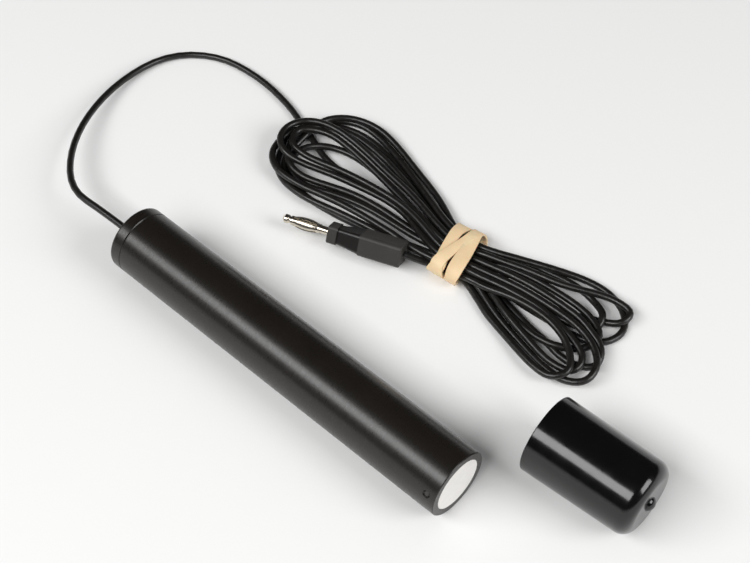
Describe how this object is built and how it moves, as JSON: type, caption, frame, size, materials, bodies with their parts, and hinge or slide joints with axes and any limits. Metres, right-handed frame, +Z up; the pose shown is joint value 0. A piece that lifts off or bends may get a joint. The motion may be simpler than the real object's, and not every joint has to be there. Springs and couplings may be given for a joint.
{
  "type": "reference electrode",
  "caption": "Cylindrical silver/silver chloride reference electrode with a white porous junction, its vinyl cap taken off, and a banded hank of lead ending in a banana plug.",
  "frame": {"origin": "centre of the sensing face, the outer face of the porous junction", "axes": "+X along the tube, out of the sensing face; +Z up from the bench it lies on, which is one tube radius below the origin; +Y towards the loose cap, the plug and the hank"},
  "size_m": [0.2851, 0.119, 0.029],
  "materials": {
    "tube_plastic": "satin",
    "bush_rubber": "matte",
    "seal_rubber": "satin",
    "pin_plastic": "matte",
    "porous_ceramic": "matte",
    "silver_chloride": "matte",
    "spacer_plastic": "satin",
    "gel": "gloss",
    "copper": "bright",
    "tinned_copper": "satin",
    "shrink_sleeve": "satin",
    "epoxy": "gloss",
    "vinyl": "gloss",
    "plug_plastic": "satin",
    "nickel_plate": "bright",
    "spring_metal": "bright",
    "natural_rubber": "matte",
    "lead_insulation": "satin"
  },
  "bodies": {
    "root": {"body_tube": "tube_plastic", "end_cap": "tube_plastic", "end_cap_o_ring": "seal_rubber", "lead_bush": "bush_rubber", "retaining_pin": "pin_plastic", "porous_junction": "porous_ceramic", "junction_gasket": "seal_rubber", "silver_element": "silver_chloride", "bulkhead": "tube_plastic", "bulkhead_o_ring": "seal_rubber", "rod_spacer": "spacer_plastic", "electrolyte_gel": "gel", "lead_inner": "lead_insulation", "lead_conductor": "copper", "splice_barrel": "tinned_copper", "heat_shrink_sleeve": "shrink_sleeve", "epoxy_potting": "epoxy", "vinyl_cap": "vinyl", "plug_housing": "plug_plastic", "plug_contact": "nickel_plate", "plug_clamp_screw": "nickel_plate", "plug_spring": "spring_metal", "plug_lead_end": "lead_insulation", "plug_conductor": "copper", "rubber_band": "natural_rubber", "lead_hank": "lead_insulation", "lead_wire": "lead_insulation", "lead_tail": "lead_insulation"}
  },
  "joints": []
}
